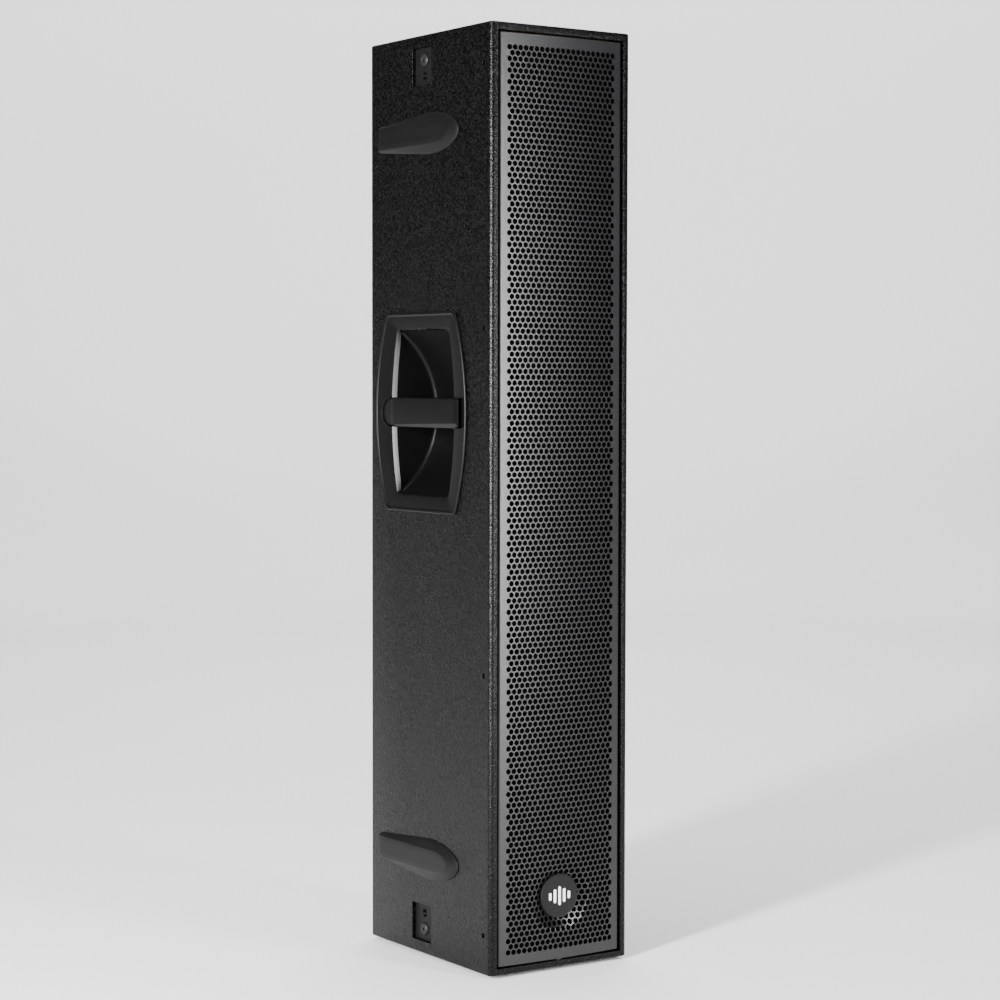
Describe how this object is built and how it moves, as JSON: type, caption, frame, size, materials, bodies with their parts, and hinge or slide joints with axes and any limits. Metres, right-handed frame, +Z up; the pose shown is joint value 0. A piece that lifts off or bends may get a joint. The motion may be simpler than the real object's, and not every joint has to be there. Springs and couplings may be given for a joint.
{
  "type": "line array speaker",
  "caption": "Slim black column loudspeaker with a bowed perforated steel grille, side pocket handles, fly points, side skids, and a rear amplifier panel.",
  "frame": {"origin": "on the ground, under the middle of the object's box", "axes": "+Z up along the column, the grille faces -Y, +X is the side on the right of someone facing the grille"},
  "size_m": [0.206, 0.264, 1.09],
  "materials": {
    "textured_paint": "pebbled black polyurea coat on birch plywood",
    "bare_plywood": "bare birch plywood",
    "black_steel": "satin black powder coat",
    "blackened_screw": "black zinc plate, slightly worn",
    "zinc_steel": "zinc plated sheet",
    "cast_metal": "black painted casting",
    "black_plastic": "smooth moulded black, soft sheen",
    "black_rubber": "smooth moulded black rubber",
    "open_foam": "open cell acoustic foam, black",
    "treated_paper": "treated paper cone, black",
    "blue_plastic": "blue moulded connector insert",
    "black_aluminium": "black anodised"
  },
  "bodies": {
    "cabinet": {"left_side_panel": "textured_paint", "right_side_panel": "textured_paint", "top_panel": "textured_paint", "bottom_panel": "textured_paint", "upper_back_panel": "textured_paint", "lower_back_panel": "textured_paint", "front_baffle": "bare_plywood", "cabinet_brace": "bare_plywood", "front_left_foot": "black_rubber", "front_right_foot": "black_rubber", "rear_left_foot": "black_rubber", "rear_right_foot": "black_rubber", "left_upper_skid": "black_rubber", "left_lower_skid": "black_rubber", "right_upper_skid": "black_rubber", "right_lower_skid": "black_rubber", "left_handle_cup": "black_plastic", "right_handle_cup": "black_plastic", "left_handle_grip": "black_plastic", "right_handle_grip": "black_plastic", "left_upper_fly_plate": "black_steel", "left_lower_fly_plate": "black_steel", "right_upper_fly_plate": "black_steel", "right_lower_fly_plate": "black_steel", "left_upper_fly_screw": "blackened_screw", "left_lower_fly_screw": "blackened_screw", "right_upper_fly_screw": "blackened_screw", "right_lower_fly_screw": "blackened_screw", "pole_socket": "cast_metal", "grille": "black_steel", "grille_foam": "open_foam", "badge": "black_plastic", "left_grille_screw_1": "black_steel", "left_grille_screw_2": "black_steel", "left_grille_screw_3": "black_steel", "left_grille_screw_4": "black_steel", "right_grille_screw_1": "black_steel", "right_grille_screw_2": "black_steel", "right_grille_screw_3": "black_steel", "right_grille_screw_4": "black_steel", "woofer_frame_1": "cast_metal", "woofer_frame_2": "cast_metal", "woofer_frame_3": "cast_metal", "woofer_frame_4": "cast_metal", "horn": "black_plastic", "compression_driver": "cast_metal", "amplifier_panel": "black_aluminium", "heatsink": "black_aluminium", "amplifier_chassis": "zinc_steel", "input_socket": "black_plastic", "link_socket": "black_plastic", "mains_inlet": "blue_plastic"},
    "cone_1": {"woofer_cone_1": "treated_paper"},
    "cone_2": {"woofer_cone_2": "treated_paper"},
    "cone_3": {"woofer_cone_3": "treated_paper"},
    "cone_4": {"woofer_cone_4": "treated_paper"},
    "level_knob": {"level_knob": "black_plastic"},
    "preset_button": {"preset_button": "black_plastic"},
    "power_rocker": {"power_rocker": "black_plastic"},
    "input_latch": {"input_latch": "zinc_steel"}
  },
  "joints": [
    {"name": "woofer_1_excursion", "type": "slide", "parent": "cabinet", "child": "cone_1", "axis": [0, -1, 0], "range_m": [-0.005, 0.005], "stiffness_N_per_m": 2000},
    {"name": "woofer_2_excursion", "type": "slide", "parent": "cabinet", "child": "cone_2", "axis": [0, -1, 0], "range_m": [-0.005, 0.005], "stiffness_N_per_m": 2000},
    {"name": "woofer_3_excursion", "type": "slide", "parent": "cabinet", "child": "cone_3", "axis": [0, -1, 0], "range_m": [-0.005, 0.005], "stiffness_N_per_m": 2000},
    {"name": "woofer_4_excursion", "type": "slide", "parent": "cabinet", "child": "cone_4", "axis": [0, -1, 0], "range_m": [-0.005, 0.005], "stiffness_N_per_m": 2000},
    {"name": "level_turn", "type": "hinge", "parent": "cabinet", "child": "level_knob", "pos_m": [0, 0.1197, 0.224], "axis": [0, 1, 0], "range_deg": [-150, 150]},
    {"name": "preset_press", "type": "slide", "parent": "cabinet", "child": "preset_button", "axis": [0, -1, 0], "range_m": [0, 0.0015], "stiffness_N_per_m": 400},
    {"name": "power_rock", "type": "hinge", "parent": "cabinet", "child": "power_rocker", "pos_m": [-0.05, 0.1172, 0.219], "axis": [1, 0, 0], "range_deg": [-16, 0]},
    {"name": "latch_press", "type": "slide", "parent": "cabinet", "child": "input_latch", "axis": [0, -1, 0], "range_m": [0, 0.002], "stiffness_N_per_m": 400}
  ]
}
